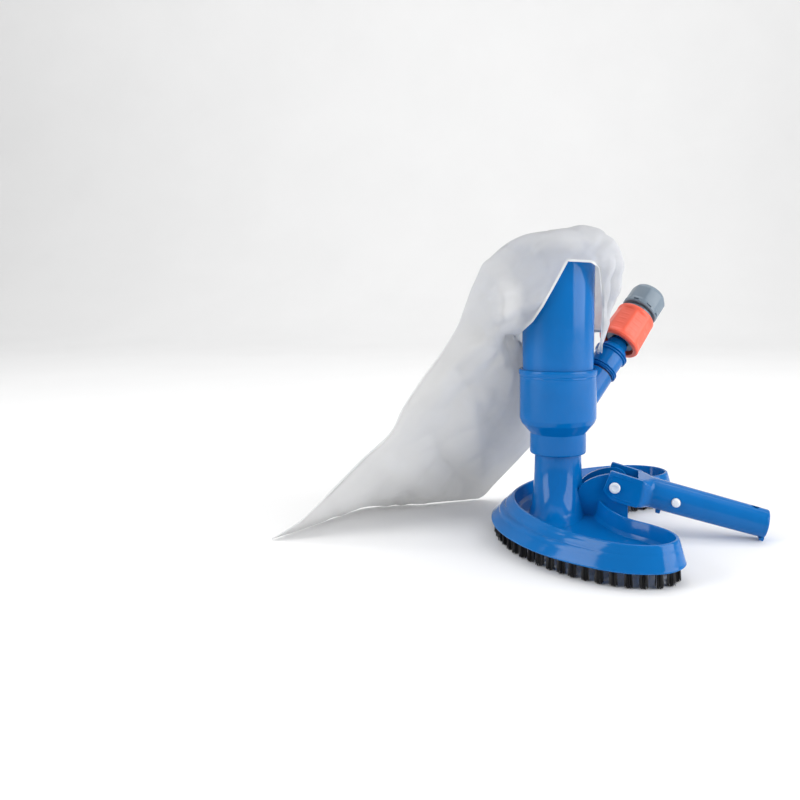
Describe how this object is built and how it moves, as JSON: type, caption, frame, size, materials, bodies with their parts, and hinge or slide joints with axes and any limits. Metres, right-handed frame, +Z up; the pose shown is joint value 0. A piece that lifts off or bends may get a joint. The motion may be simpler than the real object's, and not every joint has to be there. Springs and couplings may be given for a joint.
{
  "type": "manual pool vacuum head",
  "caption": "Crescent pool vacuum head with a brush, a venturi jet body with a slanted hose inlet, a flanged tube with a filter bag, and a hinged pole handle with snap buttons.",
  "frame": {"origin": "middle of the base of the whole object's box, on the floor that the bristle tips touch", "axes": "+Z up along the tube; +X from the bag towards the concave side of the crescent and the handle; +Y along the crescent from the near lobe to the far lobe"},
  "size_m": [0.4496, 0.2884, 0.2927],
  "materials": {
    "blue_plastic": "glossy injection-moulded blue plastic with soft moulding waviness",
    "bristle": "black nylon filaments",
    "black_rubber": "smooth moulded rubber",
    "coral_plastic": "satin coral-orange moulded plastic",
    "grey_plastic": "satin blue-grey moulded plastic",
    "white_plastic": "smooth white moulded plastic",
    "spring_steel": "bright drawn spring steel",
    "bag_mesh": "fine white woven mesh, slightly see-through, creased"
  },
  "bodies": {
    "vacuum": {"head_shell": "blue_plastic", "bristle_row_1": "bristle", "bristle_row_2": "bristle", "bristle_row_3": "bristle", "bristle_row_4": "bristle", "bristle_row_5": "bristle", "bristle_row_6": "bristle", "jet_body": "blue_plastic", "nozzle_ring": "blue_plastic", "discharge_tube": "blue_plastic", "filter_bag": "bag_mesh", "inlet_washer": "black_rubber", "inlet_adapter": "blue_plastic", "nipple_o_ring": "black_rubber"},
    "handle": {"handle_tube": "blue_plastic", "handle_end_plug": "blue_plastic", "hinge_pin": "white_plastic", "pin_retainer": "white_plastic", "snap_spring": "spring_steel"},
    "button_left": {"snap_button_left": "white_plastic"},
    "button_right": {"snap_button_right": "white_plastic"},
    "connector": {"connector_body": "grey_plastic", "sleeve_spring": "spring_steel"},
    "sleeve": {"release_sleeve": "coral_plastic"},
    "claw_1": {"latch_claw_1": "grey_plastic"},
    "claw_2": {"latch_claw_2": "grey_plastic"},
    "collet": {"collet": "grey_plastic"},
    "nut": {"connector_nut": "grey_plastic"}
  },
  "joints": [
    {"name": "handle_pivot", "type": "hinge", "parent": "vacuum", "child": "handle", "pos_m": [0.08455, 0, 0.047], "axis": [0, -1, 0], "range_deg": [0, 95]},
    {"name": "button_left_press", "type": "slide", "parent": "handle", "child": "button_left", "axis": [0, -1, 0], "range_m": [0, 0.0042], "stiffness_N_per_m": 300, "springref_m": -0.004, "deforming": ["snap_spring"]},
    {"name": "button_right_press", "type": "slide", "parent": "handle", "child": "button_right", "axis": [0, 1, 0], "range_m": [0, 0.0042], "stiffness_N_per_m": 300, "springref_m": -0.004, "deforming": ["snap_spring"]},
    {"name": "connector_swivel", "type": "hinge", "parent": "vacuum", "child": "connector", "pos_m": [0.09086, 0.06885, 0.18232], "axis": [0.4685, 0.5296, 0.7071], "continuous": true},
    {"name": "sleeve_pull", "type": "slide", "parent": "connector", "child": "sleeve", "axis": [0.4685, 0.5296, 0.7071], "range_m": [0, 0.004], "stiffness_N_per_m": 800, "springref_m": -0.004, "deforming": ["sleeve_spring"]},
    {"name": "claw_1_out", "type": "slide", "parent": "connector", "child": "claw_1", "axis": [0.8714, -0.1454, -0.4685], "range_m": [0, 0.0015]},
    {"name": "claw_2_out", "type": "slide", "parent": "connector", "child": "claw_2", "axis": [-0.8714, 0.1454, 0.4685], "range_m": [0, 0.0015]},
    {"name": "collet_slide", "type": "slide", "parent": "connector", "child": "collet", "axis": [0.4685, 0.5296, 0.7071], "range_m": [0, 0.005]},
    {"name": "nut_turn", "type": "hinge", "parent": "collet", "child": "nut", "pos_m": [0.11335, 0.09427, 0.21627], "axis": [0.4685, 0.5296, 0.7071], "range_deg": [0, 720]}
  ],
  "couplings": [
    {"joint": "claw_1_out", "follows": "sleeve_pull", "ratio": 0.375},
    {"joint": "claw_2_out", "follows": "sleeve_pull", "ratio": 0.375},
    {"joint": "collet_slide", "follows": "nut_turn", "m_per_rad": 0.00039789}
  ]
}
